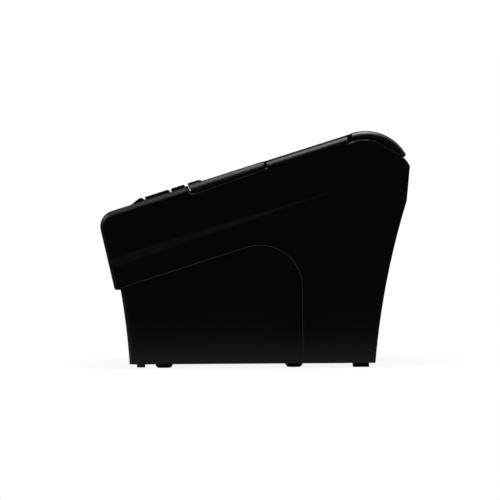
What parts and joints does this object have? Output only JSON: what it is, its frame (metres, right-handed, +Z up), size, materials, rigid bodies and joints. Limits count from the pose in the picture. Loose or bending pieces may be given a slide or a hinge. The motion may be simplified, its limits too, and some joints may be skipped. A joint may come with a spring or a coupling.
{
  "type": "receipt printer",
  "caption": "Desktop thermal receipt printer: dark wedge-shaped housing with a hinged roll cover, tear bar, paper cutter, key row and rear sockets.",
  "frame": {"origin": "middle of the printer's footprint at table level", "axes": "+X to the right when facing the front, +Y to the rear, +Z up"},
  "size_m": [0.145, 0.193, 0.1473],
  "materials": {
    "casing": "dark moulded plastic with a fine spark-eroded texture",
    "cover": "dark moulded plastic with a fine spark-eroded texture",
    "keys": "smoother dark grey plastic",
    "lens": "clear tinted lamp lens",
    "inner_plastic": "plain dark moulding",
    "natural_plastic": "natural acetal",
    "rubber": "soft black rubber",
    "steel": "bare steel sheet and bar",
    "zinc_steel": "zinc plated steel",
    "sink": "extruded aluminium",
    "head": "glazed ceramic",
    "board": "coated circuit board",
    "socket": "black socket moulding"
  },
  "bodies": {
    "root": {"upper_case": "casing", "lower_case": "casing", "base_hatch": "casing", "exit_frame": "cover", "operation_panel": "cover", "status_lenses": "lens", "roll_bucket": "inner_plastic", "near_end_sensor": "inner_plastic", "cutter_frame": "inner_plastic", "cutter_motor": "zinc_steel", "power_switch": "socket", "rubber_feet": "rubber", "rear_feet": "rubber", "idler_pin": "steel", "hinge_pins": "steel", "head_spring": "steel", "mech_frame": "zinc_steel", "feed_motor": "zinc_steel", "mech_screws": "zinc_steel", "case_screws": "zinc_steel", "interface_plate": "zinc_steel", "heat_sink": "sink", "thermal_head": "head", "main_board": "board", "usb_socket": "zinc_steel", "lan_socket": "zinc_steel", "drawer_socket": "socket", "power_inlet": "socket"},
    "paper_cover": {"paper_cover": "cover", "cover_liner": "inner_plastic", "tear_bar": "steel", "fixed_blade": "steel", "platen_bushes": "natural_plastic"},
    "platen": {"platen_roller": "rubber", "platen_shaft": "steel", "platen_gear": "natural_plastic"},
    "idler": {"idler_gear": "natural_plastic"},
    "motor_rotor": {"motor_pinion": "natural_plastic", "motor_shaft": "steel"},
    "cutter_blade": {"moving_blade": "steel"},
    "feed_button": {"feed_button": "keys"},
    "release_button": {"release_button": "keys"},
    "latch": {"latch": "zinc_steel"},
    "cutter_cover": {"cutter_cover": "cover"},
    "power_rocker": {"power_rocker": "keys"}
  },
  "joints": [
    {"name": "cover_hinge", "type": "hinge", "parent": "root", "child": "paper_cover", "pos_m": [0, 0.09236, 0.13236], "axis": [-1, 0, 0], "range_deg": [0, 95]},
    {"name": "platen_spin", "type": "hinge", "parent": "paper_cover", "child": "platen", "pos_m": [0, -0.03039, 0.10018], "axis": [1, 0, 0], "continuous": true},
    {"name": "idler_spin", "type": "hinge", "parent": "root", "child": "idler", "pos_m": [0, -0.03974, 0.08238], "axis": [1, 0, 0], "continuous": true},
    {"name": "motor_spin", "type": "hinge", "parent": "root", "child": "motor_rotor", "pos_m": [0, -0.05205, 0.0708], "axis": [1, 0, 0], "continuous": true},
    {"name": "blade_slide", "type": "slide", "parent": "root", "child": "cutter_blade", "axis": [0, 0.9549, 0.2969], "range_m": [0, 0.0065]},
    {"name": "feed_press", "type": "slide", "parent": "root", "child": "feed_button", "axis": [0, 0.2969, -0.9549], "range_m": [0, 0.001], "stiffness_N_per_m": 400},
    {"name": "release_press", "type": "slide", "parent": "root", "child": "release_button", "axis": [0, 0.2969, -0.9549], "range_m": [0, 0.003], "stiffness_N_per_m": 500},
    {"name": "latch_swing", "type": "hinge", "parent": "root", "child": "latch", "pos_m": [0, -0.03322, 0.08097], "axis": [1, 0, 0], "range_deg": [0, 13.5]},
    {"name": "cutter_cover_hinge", "type": "hinge", "parent": "root", "child": "cutter_cover", "pos_m": [0, -0.0673, 0.1064], "axis": [1, 0, 0], "range_deg": [0, 80]},
    {"name": "power_rock", "type": "hinge", "parent": "root", "child": "power_rocker", "pos_m": [0, -0.0735, 0.0275], "axis": [1, 0, 0], "range_deg": [0, 14]}
  ],
  "couplings": [
    {"joint": "idler_spin", "follows": "platen_spin", "ratio": -0.66667},
    {"joint": "motor_spin", "follows": "platen_spin", "ratio": 1.6667},
    {"joint": "latch_swing", "follows": "release_press", "rad_per_m": 75}
  ]
}
